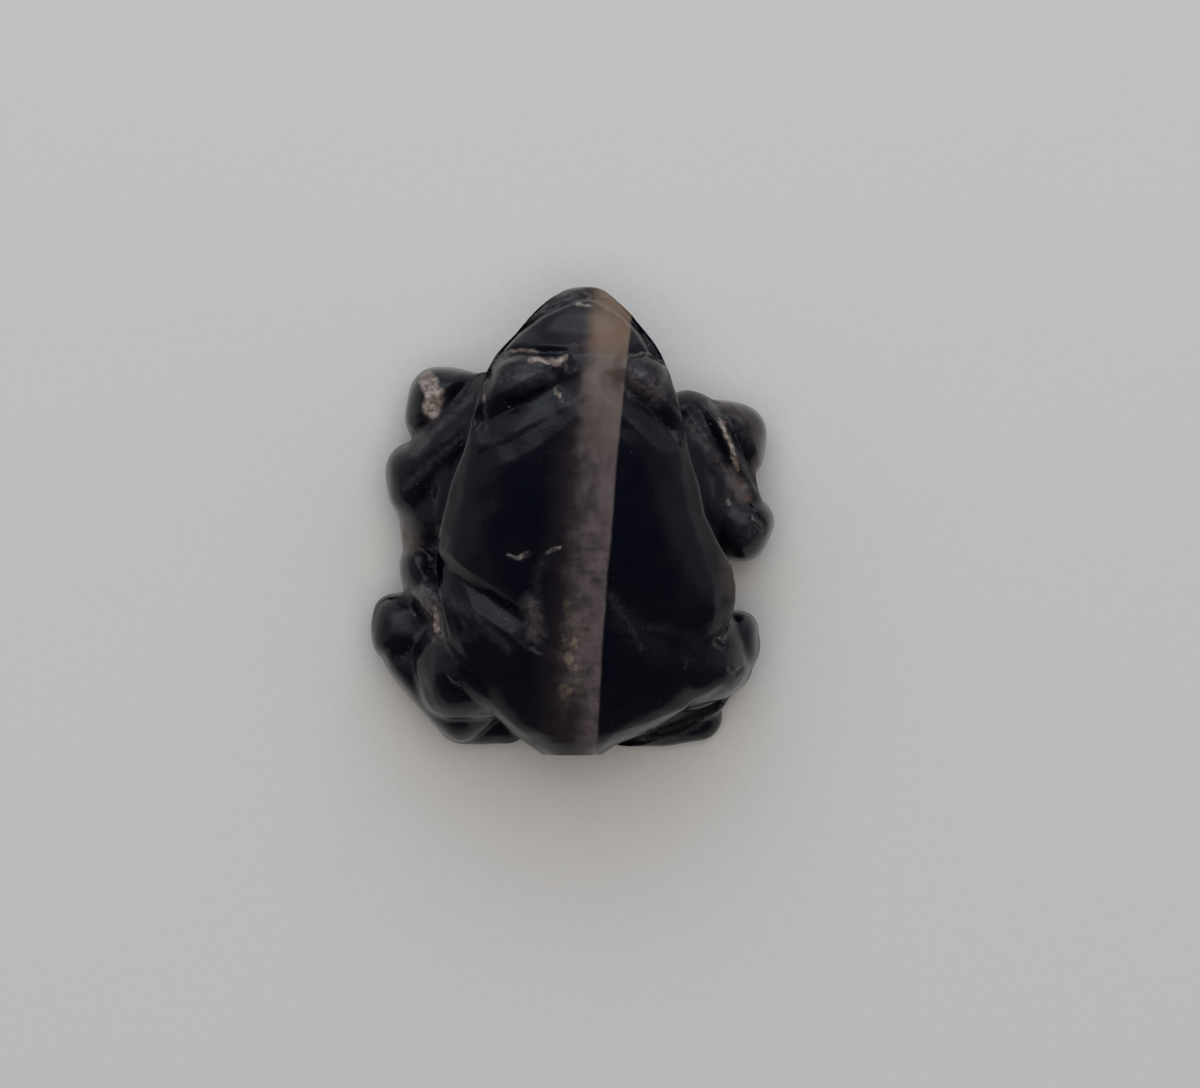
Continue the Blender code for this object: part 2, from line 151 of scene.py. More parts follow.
# Rounded lumps: centre, half-sizes along X, Y and Z, turn about Z in degrees
# and squareness, where 2 is an ellipsoid
LUMPS = {
    "left_eye": ((-8.8, 28.8, 33.0), (9.4, 7.6, 11.2), 20, 2.2),
    "left_lid": ((-9.8, 21.6, 33.0), (9.4, 5.4, 9.6), 26, 2.2),
    "right_eye": ((14.6, 28.4, 32.0), (6.2, 7.4, 11.4), -24, 2.2),
    "right_lid": ((16.0, 21.4, 32.0), (6.6, 4.8, 10.0), -38, 2.2),
    "left_hand": ((-25.4, 24.0, 9.0), (10.2, 8.8, 15.2), -10, 3.0),
    "left_elbow": ((-32.2, 8.8, 8.0), (7.7, 8.6, 14.6), 8, 2.7),
    "left_side": ((-28.0, 1.0, 4.0), (9.2, 15.6, 18.8), 3, 2.5),
    "left_shoulder": ((-23.6, 9.0, 8.0), (7.6, 19.0, 18.0), -6, 2.8),
    "left_toe": ((-28.6, -10.6, 8.0), (8.3, 7.3, 15.4), 12, 2.7),
    "left_crest": ((-26.6, -18.4, 8.0), (7.2, 8.8, 20.0), 34, 2.6),
    "right_hand": ((30.9, 17.2, 9.0), (11.1, 8.9, 16.4), -4, 2.8),
    "right_elbow": ((35.2, -0.8, 8.5), (8.1, 7.4, 14.2), -24, 2.7),
    "right_side": ((28.0, 4.6, 4.0), (9.4, 15.6, 20.4), -8, 2.5),
    "right_shoulder": ((25.2, 9.6, 8.0), (7.4, 16.0, 18.6), 10, 2.8),
    "left_rump": ((-17.8, -30.2, 4.0), (17.2, 12.4, 30.0), 14, 3.0),
    "left_calf": ((-26.0, -32.6, 4.0), (10.2, 14.2, 18.4), 41, 4.6),
    "right_rump": ((20.0, -30.4, 4.0), (18.8, 10.8, 30.4), 10, 3.2),
    "left_knee": ((-34.6, -22.9, 8.0), (8.6, 7.4, 15.4), 0, 3.1),
    "right_knee": ((34.4, -25.6, 8.0), (6.1, 6.3, 15.8), 0, 3.0),
}
LUMP_ROUNDNESS = 4

# Limbs: points along the middle of each, and the limb's radius there
LIMBS = {
    "left_foreleg": ((-17.5, 24.0, 18.4, 8.0), (-25.6, 15.8, 18.4, 8.0), (-33.0, 9.0, 15.0, 6.4)),
    "right_foreleg": ((25.0, 20.0, 17.0, 8.0), (33.0, 10.6, 16.0, 6.2), (36.4, 1.0, 13.6, 5.4)),
    "left_thigh": (
        (-12.0, -27.0, 18.0, 12.0),
        (-26.0, -27.6, 15.4, 10.6),
        (-36.0, -23.4, 13.0, 6.0),
    ),
    "right_thigh": ((14.0, -28.0, 18.0, 12.0), (25.0, -30.4, 15.4, 10.4), (34.2, -26.8, 14.0, 6.6)),
    "left_shin": (
        (-36.8, -24.8, 8.0, 6.4),
        (-29.6, -34.0, 8.0, 6.3),
        (-22.8, -41.6, 6.0, 6.8),
        (-14.4, -42.2, 5.0, 6.1),
    ),
    "right_shin": ((34.4, -27.6, 9.0, 6.2), (27.6, -36.4, 8.0, 6.4), (16.0, -41.6, 6.0, 6.0)),
    "right_foot": ((27.2, -42.2, 3.0, 5.5), (20.0, -43.6, 3.0, 5.3), (12.0, -43.6, 3.0, 5.3)),
}
LIMB_SIDES = 24

# Cuts made from above: the bottom of the cut as a path in plan, its depth, and
# how far it slopes out to the left and to the right of that path
CUTS = {
    "mouth_left": (
        ((-15.0, 36.0), (-11.2, 40.2), (-5.8, 44.2), (0.6, 46.9), (5.0, 47.5)),
        2.6,
        3.2,
        1.0,
    ),
    "mouth_right": (((5.0, 47.5), (10.7, 44.2), (14.6, 40.1), (17.8, 35.0)), 2.6, 3.2, 1.0),
    "left_eye_rim": (
        ((-17.6, 31.0), (-15.6, 34.2), (-11.0, 35.6), (-5.6, 35.5), (-1.6, 34.8), (-0.8, 32.6)),
        1.4,
        1.8,
        1.8,
    ),
    "left_eye_hollow": (((-5.0, 31.6), (-9.0, 31.0), (-13.4, 29.4)), 0.8, 3.2, 3.4),
    "left_eye_fold": (((-2.6, 28.8), (-6.9, 26.6), (-12.2, 23.8), (-17.6, 21.0)), 2.7, 5.0, 3.8),
    "left_lid_edge": (((-3.6, 22.6), (-8.4, 19.4), (-12.8, 16.8), (-17.4, 15.0)), 0.6, 4.0, 2.4),
    "left_temple": (((-17.0, 30.6), (-18.3, 26.4), (-19.0, 20.6)), 0.9, 1.6, 1.6),
    "right_eye_rim": (
        ((20.6, 30.4), (18.6, 34.2), (14.8, 35.6), (11.6, 34.8), (10.4, 31.8), (10.9, 28.4)),
        0.9,
        1.8,
        1.8,
    ),
    "right_eye_fold": (((10.8, 28.8), (14.8, 25.4), (18.4, 21.8), (20.8, 19.0)), 2.8, 3.4, 4.6),
    "left_wrist": (((-20.8, 30.2), (-26.2, 25.2), (-30.6, 20.8), (-36.6, 17.0)), 2.0, 5.0, 2.6),
    "left_bay": (((-38.0, -2.4), (-29.6, -4.6)), 1.8, 4.0, 3.6),
    "left_crest_line": (
        ((-30.6, -8.0), (-27.6, -13.0), (-24.6, -18.4), (-22.8, -23.0)),
        1.3,
        3.6,
        2.8,
    ),
    "left_hip": (
        ((-28.0, -8.6), (-24.2, -11.6), (-18.6, -15.2), (-12.6, -19.2), (-7.4, -23.4)),
        2.3,
        2.6,
        7.0,
    ),
    "left_hip_crest": (((-26.0, -16.4), (-19.6, -20.0), (-12.6, -24.4)), -1.5, 4.6, 9.0),
    "left_knee_facet": (((-42.6, -16.0), (-35.0, -17.6), (-31.0, -22.0)), 3.6, 2.2, 11.0),
    "left_tail": (((-23.4, -35.6), (-17.4, -41.4), (-10.4, -47.6)), 1.6, 2.2, 6.0),
    "right_hand_outer": (((30.8, 25.4), (34.0, 20.6), (36.8, 14.6), (38.8, 8.6)), 2.2, 2.8, 1.8),
    "right_hand_inner": (((27.0, 24.0), (30.8, 17.8), (34.2, 12.0), (36.6, 8.2)), 1.8, 1.9, 2.2),
    "right_hand_valley": (((24.6, 21.6), (28.6, 16.4), (33.4, 10.4), (37.6, 4.6)), 1.2, 2.8, 5.4),
    "right_hip": (
        ((8.0, -15.0), (12.4, -19.2), (17.0, -21.4), (23.0, -22.8), (29.0, -22.6)),
        1.0,
        4.4,
        8.0,
    ),
    "right_knee_line": (
        ((26.0, -28.6), (28.6, -25.2), (33.0, -21.6), (35.6, -19.0)),
        0.9,
        2.6,
        5.2,
    ),
    "right_thigh_edge": (
        ((10.8, -48.6), (18.4, -45.8), (25.0, -43.4), (32.2, -38.8)),
        3.2,
        3.6,
        1.4,
    ),
}

# Cuts made from the sides: -1 for the left or 1 for the right, the path seen
# from that side as Y and Z, the depth, and how far it slopes out to both sides
SIDE_CUTS = {
    "left_forearm": (-1, ((2.0, 2.0), (9.0, 9.0), (17.0, 12.0), (28.0, 10.0)), 1.4, 2.2),
    "left_shank": (-1, ((-16.0, 12.0), (-24.0, 11.0), (-42.0, 9.0)), 1.6, 2.4),
    "right_forearm": (1, ((-6.0, 2.0), (1.0, 9.0), (10.0, 12.0), (22.0, 10.0)), 1.4, 2.2),
    "right_shank": (1, ((-19.0, 13.0), (-27.0, 11.0), (-38.0, 10.0)), 1.6, 2.4),
}

# Cuts made from below, in plan again, sloping out equally to both sides
UNDERSIDE_CUTS = {
    "left_forearm": (
        ((-17.6, 32.0), (-17.0, 22.0), (-18.6, 13.0), (-23.0, 5.0), (-29.0, -0.4), (-38.0, -3.0)),
        1.8,
        2.2,
    ),
    "right_forearm": (
        ((21.6, 28.0), (20.0, 19.0), (20.6, 10.0), (24.0, 1.0), (29.4, -5.4), (38.0, -9.0)),
        1.8,
        2.2,
    ),
    "left_leg": (
        (
            (-42.0, -17.0), (-33.0, -15.4), (-25.0, -17.4), (-18.4, -23.6), (-14.0, -33.0),
            (-11.4, -49.0),
        ),
        1.8,
        2.2,
    ),
    "right_leg": (
        ((40.0, -19.0), (31.6, -16.6), (24.0, -18.4), (18.0, -24.4), (14.0, -33.0), (11.4, -49.0)),
        1.8,
        2.2,
    ),
}

# Fine work on the worn stone, in plan again: the path of each nick or raised
# vein, its depth, negative where it stands up, and its reach to both sides
NICKS = {
    "back_crescent_left": (((-13.2, -7.0), (-11.0, -7.8), (-8.8, -6.8)), 0.5, 0.9),
    "back_crescent_right": (((-5.0, -6.4), (-2.4, -5.4)), 0.5, 0.8),
    "spine_vein": (((-5.2, -8.4), (-6.9, -14.8), (-7.5, -22.3), (-6.7, -26.3)), -0.15, 1.6),
    "left_hand_chip": (((-30.8, 30.2), (-29.4, 27.0), (-29.8, 24.0)), 0.8, 2.4),
    "left_brow_break": (
        ((-16.0, 34.8), (-11.0, 36.0), (-6.0, 35.6), (-1.4, 35.8), (1.0, 36.4)),
        0.5,
        1.0,
    ),
    "right_brow_break": (((12.0, 34.8), (16.2, 35.4), (20.3, 33.2)), 0.4, 0.9),
    "nose_nick": (((1.2, 45.9), (3.6, 45.5)), 0.4, 0.7),
    "right_knee_pit": (((31.3, -26.0), (32.2, -26.6)), 0.8, 1.2),
    "right_knee_arc": (((33.8, -31.6), (35.2, -32.7), (36.3, -31.7)), 0.5, 0.7),
    "elbow_scratch_long": (((38.6, 0.6), (41.2, -2.4)), 0.35, 0.6),
    "elbow_scratch_short": (((39.8, 1.4), (41.4, -0.8)), 0.35, 0.6),
    "left_crest_glint": (((-28.9, -19.2), (-28.4, -23.8)), 0.5, 0.9),
}

# Pale chipped and worn places, mixed with painted highlights and glints on the brow, eye, nose,
# hand ridge, crest and temple: path, reach and strength
CHIPS_AND_HIGHLIGHTS = {
    "left_hand_chip": (((-30.9, 30.4), (-29.3, 27.0), (-29.8, 24.0)), 2.5, 1.6),
    "left_brow": (((-14.6, 35.3), (-11.0, 36.1), (-7.0, 35.7)), 0.6, 0.5),
    "left_brow_bright": (((-8.4, 33.9), (-5.6, 33.8), (-2.8, 33.0), (-1.2, 34.4)), 0.8, 1.2),
    "left_eye_glint": (((-3.4, 27.7), (-1.5, 25.1)), 0.4, 0.7),
    "right_brow": (((12.2, 34.9), (16.2, 35.5), (19.8, 33.5)), 0.5, 0.4),
    "nose": (((1.2, 45.9), (3.8, 45.5)), 0.6, 0.8),
    "right_hand_ridge": (((31.9, 21.4), (34.0, 16.4), (35.5, 11.0)), 0.65, 1.6),
    "left_crest": (((-28.9, -18.8), (-28.5, -23.2)), 0.8, 1.4),
    "temple_dot": (((-18.3, 26.0), (-18.2, 25.6)), 0.5, 1.2),
    "back_crescent_left": (((-13.2, -7.0), (-11.0, -7.8), (-8.8, -6.8)), 0.45, 0.5),
    "back_crescent_right": (((-5.0, -6.4), (-2.4, -5.4)), 0.45, 0.7),
    "elbow_scratches": (((38.8, 0.8), (41.4, -2.2)), 0.5, 0.5),
    "right_elbow_speck": (((33.4, 4.2), (33.8, 3.8)), 0.6, 0.9),
    "right_knee_tick": (((31.5, -25.2), (32.6, -25.8)), 0.5, 0.6),
}

# Painted sheen on slopes facing the light, with some soft pale smears on and just under the polish:
# path, reach and strength
SHEENS_AND_SMEARS = {
    "left_arm_upper": (((-21.4, 26.2), (-27.0, 21.4), (-33.4, 14.4)), 1.7, 0.60),
    "left_arm_lower": (((-21.4, 19.4), (-28.6, 13.4), (-36.0, 6.6)), 1.9, 0.40),
    "left_chip_rim": (((-32.0, 30.6), (-28.6, 26.6), (-29.4, 22.0)), 3.4, 0.55),
    "right_hand_valley": (((25.6, 21.0), (29.6, 14.8), (34.4, 9.0)), 2.2, 0.80),
    "right_hand_pool": (((34.2, 10.2), (36.6, 6.4)), 2.6, 1.4),
    "right_hand_ridge": (((31.9, 21.4), (34.0, 16.4), (35.5, 11.0)), 1.5, 0.8),
    "left_crest_pool": (((-30.8, -15.4), (-29.8, -19.2), (-28.4, -23.6)), 3.0, 1.5),
    "knee_facet": (((-38.6, -19.6), (-33.0, -22.6)), 3.6, 0.22),
    "spine_smear": (((-6.0, -8.8), (-7.4, -12.6), (-7.2, -17.2)), 2.2, 0.30),
    "spine_spot": (((-8.4, -17.6), (-7.4, -23.8)), 3.4, 0.85),
    "hip_wisp": (((-18.4, -22.2), (-13.3, -27.0)), 2.0, 0.38),
    "hip_wisp_inner": (((-15.4, -19.4), (-11.6, -23.4)), 2.2, 0.30),
    "hip_band": (((-29.4, -14.0), (-24.4, -17.6), (-18.9, -21.2)), 2.4, 0.36),
    "right_hip_line": (((8.4, -15.9), (11.8, -20.6), (15.0, -26.8)), 2.4, 0.34),
    "right_hip_branch": (((11.4, -19.8), (15.6, -22.2), (21.0, -23.2)), 2.4, 0.26),
    "right_hip_haze": (((11.0, -21.0), (18.0, -27.0)), 6.0, 0.22),
    "thigh_edge": (((8.2, -48.5), (15.9, -44.7), (21.1, -41.8), (27.5, -38.8)), 1.0, 1.0),
    "foot_ridge": (((13.9, -47.0), (22.4, -46.8), (27.7, -44.0), (32.3, -40.4)), 1.1, 0.55),
    "foot_fan": (((17.0, -45.6), (24.0, -44.0), (31.0, -40.4)), 2.6, 0.45),
    "left_eye": (((-14.0, 30.0), (-5.0, 31.0)), 3.6, 0.60),
    "right_eye": (((12.6, 31.0), (18.0, 27.4)), 4.8, 0.85),
    "right_arm": (((27.0, 25.0), (34.0, 22.0), (38.6, 17.0)), 3.4, 0.40),
    "right_elbow": (((34.4, 3.0), (38.4, -3.4)), 4.4, 0.36),
    "left_elbow": (((-36.8, 12.0), (-37.6, 4.0)), 2.6, 0.16),
    "calf_smear": (((-29.0, -40.6), (-23.6, -45.0)), 2.2, 0.24),
    "tail_groove": (((-19.0, -39.4), (-11.6, -46.4)), 0.9, 0.40),
    "mouth_left": (((-14.0, 38.2), (-10.4, 42.0), (-5.2, 45.4), (1.2, 47.9)), 0.9, 0.75),
    "left_temple": (((-17.8, 32.0), (-18.4, 26.0), (-17.8, 19.5)), 0.6, 0.60),
    "left_lid": (((-4.0, 21.6), (-10.0, 18.6), (-16.6, 16.0)), 1.6, 0.22),
    "brow_haze": (((-15.0, 34.2), (-2.0, 33.0)), 2.2, 0.40),
    "right_lid": (((8.4, 24.8), (13.4, 20.4), (18.6, 16.0)), 1.2, 0.24),
}

# Yellowish blotches in the pale layer: path, reach and strength
PATCHES = {
    "first": (((-1.0, -18.4), (0.2, -20.6)), 2.3, 0.9),
    "second": (((-1.2, -24.6), (0.4, -26.4)), 2.2, 0.8),
    "third": (((-2.0, -28.4), (0.2, -30.4)), 2.4, 1.0),
    "fourth": (((-1.6, -35.2), (-0.2, -36.4)), 1.9, 0.7),
    "fifth": (((-1.4, -41.0), (-0.6, -42.4)), 1.6, 0.4),
}

# Warm places where light passes through thin stone: path, reach and strength
GLOWS = {
    "right_hand_end": (((34.8, 9.0), (37.2, 5.4)), 2.2, 1.0),
    "left_bay": (((-36.6, -1.6), (-34.2, -5.0)), 3.0, 0.45),
    "right_bay": (((33.4, -8.6), (34.0, -15.0)), 2.6, 0.4),
    "spine_spot": (((-7.8, -20.0), (-7.4, -22.6)), 1.8, 0.5),
    "left_hand_rim": (((-33.6, 29.0), (-35.6, 23.0)), 2.0, 0.3),
    "right_hand_rim": (((31.0, 25.8), (38.6, 21.6), (41.0, 16.0), (39.4, 9.8)), 1.6, 0.35),
}

# Hand-cut unevenness and broken grain: height and width of each
UNEVEN_HEIGHT, UNEVEN_WIDTH = 0.22, 5.0
BROKEN_HEIGHT, BROKEN_WIDTH = 0.45, 1.1
RAGGED_HEIGHT, RAGGED_WIDTH = 0.5, 1.2

# How far the flat underside and tail stay plain
FLAT_REACH = 1.0

# Height over which an edge counts as crest or hollow
CREST_HEIGHT = 0.30
CREST_ROUNDS = 14


def add_ring(bm, points):
    """One closed ring of edges through the given points."""
    ring = bmesh.ops.create_circle(bm, segments=len(points), radius=1.0)["verts"]
    for vertex, place in zip(ring, points):
        vertex.co = place
    return list({edge for vertex in ring for edge in vertex.link_edges})


def trunk_points(along, left, left_edge, right_edge, right, edge_height, crown, low):
    """Round one section: over the back from right to left, then underneath."""
    middle = (left_edge + right_edge) / 2
    half = (right_edge - left_edge) / 2
    points = []
    for step in range(BACK_STEPS + 1):
        across = math.cos(math.pi * step / BACK_STEPS)
        rise = 1 - abs(across) ** BACK_FULLNESS
        height = edge_height + (crown - edge_height) * rise
        points.append(Vector((middle + across * half, along, height)))
    left_flank = max(low, edge_height - FLANK_STEEPNESS * (left_edge - left))
    right_flank = max(low, edge_height - FLANK_STEEPNESS * (right - right_edge))
    points.append(Vector((left, along, left_flank)))
    points.append(Vector((left + 0.1 * half, along, low)))
    points.append(Vector((right - 0.1 * half, along, low)))
    points.append(Vector((right, along, right_flank)))
    return points


def add_trunk(bm):
    rings = [add_ring(bm, trunk_points(*section)) for section in TRUNK_SECTIONS]
    for first, second in zip(rings, rings[1:]):
        bmesh.ops.bridge_loops(bm, edges=first + second)
    for ring in (rings[0], rings[-1]):
        bmesh.ops.contextual_create(bm, geom=ring)


def add_lump(bm, centre, halves, turn, squareness):
    ball = bmesh.ops.create_icosphere(bm, subdivisions=LUMP_ROUNDNESS, radius=1.0)["verts"]
    for vertex in ball:
        reach = sum(abs(share) ** squareness for share in vertex.co)
        vertex.co /= reach ** (1 / squareness)
    place = Matrix.Translation(centre) @ Matrix.Rotation(math.radians(turn), 4, "Z")
    bmesh.ops.transform(bm, matrix=place @ Matrix.Diagonal((*halves, 1.0)), verts=ball)


def add_limb(bm, stations):
    """A tapering limb with a ball at each station."""
    for x, y, z, radius in stations:
        bmesh.ops.create_icosphere(
            bm, subdivisions=4, radius=radius, matrix=Matrix.Translation((x, y, z))
        )
    for start, end in zip(stations, stations[1:]):
        first, second = Vector(start[:3]), Vector(end[:3])
        turn = (second - first).to_track_quat("Z", "Y").to_matrix().to_4x4()
        bmesh.ops.create_cone(
            bm,
            cap_ends=True,
            segments=LIMB_SIDES,
            radius1=start[3],
            radius2=end[3],
            depth=(second - first).length,
            matrix=Matrix.Translation((first + second) / 2) @ turn,
        )


def mesh_object(name, bm):
    mesh = bpy.data.meshes.new(name)
    bm.to_mesh(mesh)
    bm.free()
    obj = bpy.data.objects.new(name, mesh)
    bpy.context.scene.collection.objects.link(obj)
    return obj


def settle(obj):
    """Turns the object's modifiers into its own mesh."""
    graph = bpy.context.evaluated_depsgraph_get()
    mesh = bpy.data.meshes.new_from_object(obj.evaluated_get(graph))
    obj.modifiers.clear()
    obj.data = mesh


def soften(obj, rounds):
    bm = bmesh.new()
    bm.from_mesh(obj.data)
    for _ in range(rounds):
        bmesh.ops.smooth_vert(
            bm, verts=bm.verts, factor=0.5, use_axis_x=True, use_axis_y=True, use_axis_z=True
        )
    bm.to_mesh(obj.data)
    bm.free()


def clay_frog():
    """The uncarved frog: every lump, limb and the trunk fused in one skin."""
    bm = bmesh.new()
    add_trunk(bm)
    for lump in LUMPS.values():
        add_lump(bm, *lump)
    for stations in LIMBS.values():
        add_limb(bm, stations)
    bmesh.ops.recalc_face_normals(bm, faces=bm.faces)
    obj = mesh_object("carved_frog", bm)
    remesh = obj.modifiers.new("fuse", "REMESH")
    remesh.mode = "VOXEL"
    remesh.voxel_size = CLAY_VOXEL
    settle(obj)
    soften(obj, SOFTENING_ROUNDS)
    return obj


def numbers_of(mesh):
    """The mesh's points and their normals."""
    count = len(mesh.vertices)
    places = np.empty(count * 3)
    mesh.vertices.foreach_get("co", places)
    normals = np.empty(count * 3)
    mesh.vertex_normals.foreach_get("vector", normals)
    return places.reshape(-1, 3), normals.reshape(-1, 3)


def cut_share(plan, path, left_reach, right_reach):
    """How deep each point in plan lies in a cut: 1 at its bottom, 0 outside."""
    nearest = np.full(len(plan), np.inf)
    share = np.zeros(len(plan))
    for start, end in zip(path, path[1:]):
        start, end = np.array(start), np.array(end)
        run = end - start
        along = np.clip((plan - start) @ run / (run @ run), 0, 1)
        offset = plan - start - along[:, None] * run
        distance = np.linalg.norm(offset, axis=1)
        on_left = run[0] * offset[:, 1] - run[1] * offset[:, 0] > 0
        reach = np.where(on_left, left_reach, right_reach)
        closer = distance < nearest
        share[closer] = np.clip(1 - distance / reach, 0, 1)[closer]
        nearest[closer] = distance[closer]
    return share


def carve(obj):
    """Cuts the clay from the sides and from above, then levels and scores its underside."""
    places, normals = numbers_of(obj.data)
    plan = places[:, :2].copy()
    profile = places[:, 1:].copy()
    for side, path, depth, reach in SIDE_CUTS.values():
        facing = np.clip(side * normals[:, 0] / STEEPEST_CARVED, 0, 1)
        facing *= side * plan[:, 0] > 0
        places[:, 0] -= side * depth * facing * cut_share(profile, path, reach, reach)
    lowered = np.zeros(len(places))
    for path, depth, left_reach, right_reach in CUTS.values():
        lowered += depth * cut_share(plan, path, left_reach, right_reach)
    places[:, 2] -= lowered * np.clip(normals[:, 2] / STEEPEST_CARVED, 0, 1)
    floor = np.full(len(places), UNDER_BASE)
    for path, depth, reach in UNDERSIDE_CUTS.values():
        raised = (depth - UNDER_BASE) * cut_share(plan, path, reach, reach)
        floor = np.maximum(floor, UNDER_BASE + raised)
    places[:, 2] = np.maximum(places[:, 2], floor)
    obj.data.vertices.foreach_set("co", places.reshape(-1))
    obj.data.update()


def marks_at(plan, table):
    """The strongest mark of a table at each point in plan, with ragged edges."""
    found = np.zeros(len(plan))
    ragged = [noise.noise_vector(Vector((*point, 0)) / RAGGED_WIDTH).xy for point in plan]
    plan = plan + RAGGED_HEIGHT * np.array(ragged)
    for path, reach, strength in table.values():
        found = np.maximum(found, strength * cut_share(plan, path, reach, reach))
    return np.clip(found, 0, 1)


def wear(obj, unit, middle):
    """Nicks, raised veins, hand-cut unevenness and the grain of broken places."""
    places, normals = numbers_of(obj.data)
    places = places / unit + np.array(middle)
    plan = places[:, :2].copy()
    up = np.clip(normals[:, 2] / STEEPEST_CARVED, 0, 1)
    depth = np.zeros(len(places))
    for path, deep, reach in NICKS.values():
        depth += deep * cut_share(plan, path, reach, reach)
    broken = marks_at(plan, CHIPS_AND_HIGHLIGHTS) * up
    uneven = [noise.noise(Vector(place) / UNEVEN_WIDTH) for place in places]
    grain = [noise.noise(Vector(place) / BROKEN_WIDTH) for place in places]
    rise = UNEVEN_HEIGHT * np.array(uneven) + BROKEN_HEIGHT * broken * np.array(grain)
    free = np.clip((places[:, 2] - FLAT_REACH) / FLAT_REACH, 0, 1)
    free *= np.clip((places[:, 1] - TAIL_END - FLAT_REACH) / FLAT_REACH, 0, 1)
    places += normals * ((rise - depth * up) * free)[:, None]
    places = (places - np.array(middle)) * unit
    obj.data.vertices.foreach_set("co", places.reshape(-1))
    obj.data.update()


def thin_out(obj):
    """Fewer triangles where the skin is nearly flat."""
    triangles = sum(len(face.vertices) - 2 for face in obj.data.polygons)
    thin = obj.modifiers.new("thin", "DECIMATE")
    thin.ratio = min(1.0, MOST_TRIANGLES / triangles)
    thin.use_collapse_triangulate = True
    settle(obj)


def mean_of_neighbours(values, edges):
    count = len(values)
    first, second = edges.T
    near = np.bincount(first, minlength=count) + np.bincount(second, minlength=count)
    total = np.empty_like(values)
    for axis in range(values.shape[1]):
        total[:, axis] = np.bincount(first, values[second, axis], count)
        total[:, axis] += np.bincount(second, values[first, axis], count)
    return total / near[:, None]


def mark(obj, unit, middle):
    """Records on the skin its chips and painted highlights, its painted sheen and smears, its
    painted glow, and where it is crested or hollow.
    """
    places, normals = numbers_of(obj.data)
    plan = places[:, :2] / unit + np.array(middle[:2])
    up = np.clip(normals[:, 2] / STEEPEST_CARVED, 0, 1)
    edges = np.empty(2 * len(obj.data.edges), dtype=np.int64)
    obj.data.edges.foreach_get("vertices", edges)
    edges = edges.reshape(-1, 2)
    smooth = places
    for _ in range(CREST_ROUNDS):
        smooth = mean_of_neighbours(smooth, edges)
    height = ((places - smooth) * normals).sum(axis=1) / (unit * CREST_HEIGHT)
    layers = {
        "chip_and_highlight_marks": marks_at(plan, CHIPS_AND_HIGHLIGHTS) * up,
        "sheen_and_smear": marks_at(plan, SHEENS_AND_SMEARS) * up,
        "patch": marks_at(plan, PATCHES) * up,
        "glow": marks_at(plan, GLOWS),
        "crest": np.clip(height, 0, 1),
        "hollow": np.clip(-height, 0, 1),
    }
    for name, values in layers.items():
        layer = obj.data.attributes.new(name, "FLOAT", "POINT")
        layer.data.foreach_set("value", values.astype(np.float32))


def bring_to_size(obj):
    """Scales the frog to its real length and centres it in X and Y."""
    places, _ = numbers_of(obj.data)
    nose = places[:, 1].max()
    middle = Vector(((places[:, 0].min() + places[:, 0].max()) / 2, (nose + TAIL_END) / 2, 0))
    share = BEAD_LENGTH / (nose - TAIL_END)
    obj.data.transform(Matrix.Scale(share, 4) @ Matrix.Translation(-middle))
    return share, middle


def flat_ends():
    """A block that leaves the frog flat underneath and square at the tail."""
    bm = bmesh.new()
    bmesh.ops.create_cube(bm, size=1.0, matrix=Matrix.Translation((0, 0.5, 0.5)))
    bmesh.ops.scale(bm, vec=(2 * BEAD_LENGTH, 2 * BEAD_LENGTH, BEAD_LENGTH), verts=bm.verts)
    bmesh.ops.translate(bm, vec=(0, -BEAD_LENGTH / 2, 0), verts=bm.verts)
    return mesh_object("flat_ends", bm)


def bore():
    bm = bmesh.new()
    bmesh.ops.create_cone(
        bm,
        cap_ends=True,
        segments=BORE_SIDES,
        radius1=BORE_DIAMETER / 2,
        radius2=BORE_DIAMETER / 2,
        depth=2 * BEAD_LENGTH,
        matrix=Matrix.Translation((0, 0, BORE_AXIS_HEIGHT)) @ Matrix.Rotation(math.pi / 2, 4, "X"),
    )
    return mesh_object("bore", bm)


def cut_with(obj, operation, other):
    cut = obj.modifiers.new(other.name, "BOOLEAN")
    cut.operation = operation
    cut.object = other
    settle(obj)
    bpy.data.objects.remove(other)


def carved_frog():
    frog = clay_frog()
    carve(frog)
    soften(frog, 1)
    unit, middle = bring_to_size(frog)
    cut_with(frog, "INTERSECT", flat_ends())
    cut_with(frog, "DIFFERENCE", bore())
    wear(frog, unit, middle)
    thin_out(frog)
    mark(frog, unit, middle)
    frog.data.shade_smooth()
    frog.data.set_sharp_from_angle(angle=math.radians(50))
    return frog


def add(tree, kind, inputs=None, **settings):
    """A shader node with its settings, and its inputs linked or set."""
    made = tree.nodes.new(kind)
    for name, value in settings.items():
        setattr(made, name, value)
    for name, value in (inputs or {}).items():
        if isinstance(value, bpy.types.NodeSocket):
            tree.links.new(value, made.inputs[name])
        else:
            made.inputs[name].default_value = value
    return made


def calc(tree, operation, first, second=0.0, third=0.0):
    """The result of one sum on numbers or sockets."""
    return add(
        tree, "ShaderNodeMath", {0: first, 1: second, 2: third}, operation=operation
    ).outputs[0]


def ramp(tree, value, low, high, smooth=True):
    """0 where value is at low, 1 where it is at high."""
    kind = "SMOOTHSTEP" if smooth else "LINEAR"
    return add(
        tree,
        "ShaderNodeMapRange",
        {"Value": value, "From Min": low, "From Max": high},
        interpolation_type=kind,
    ).outputs["Result"]


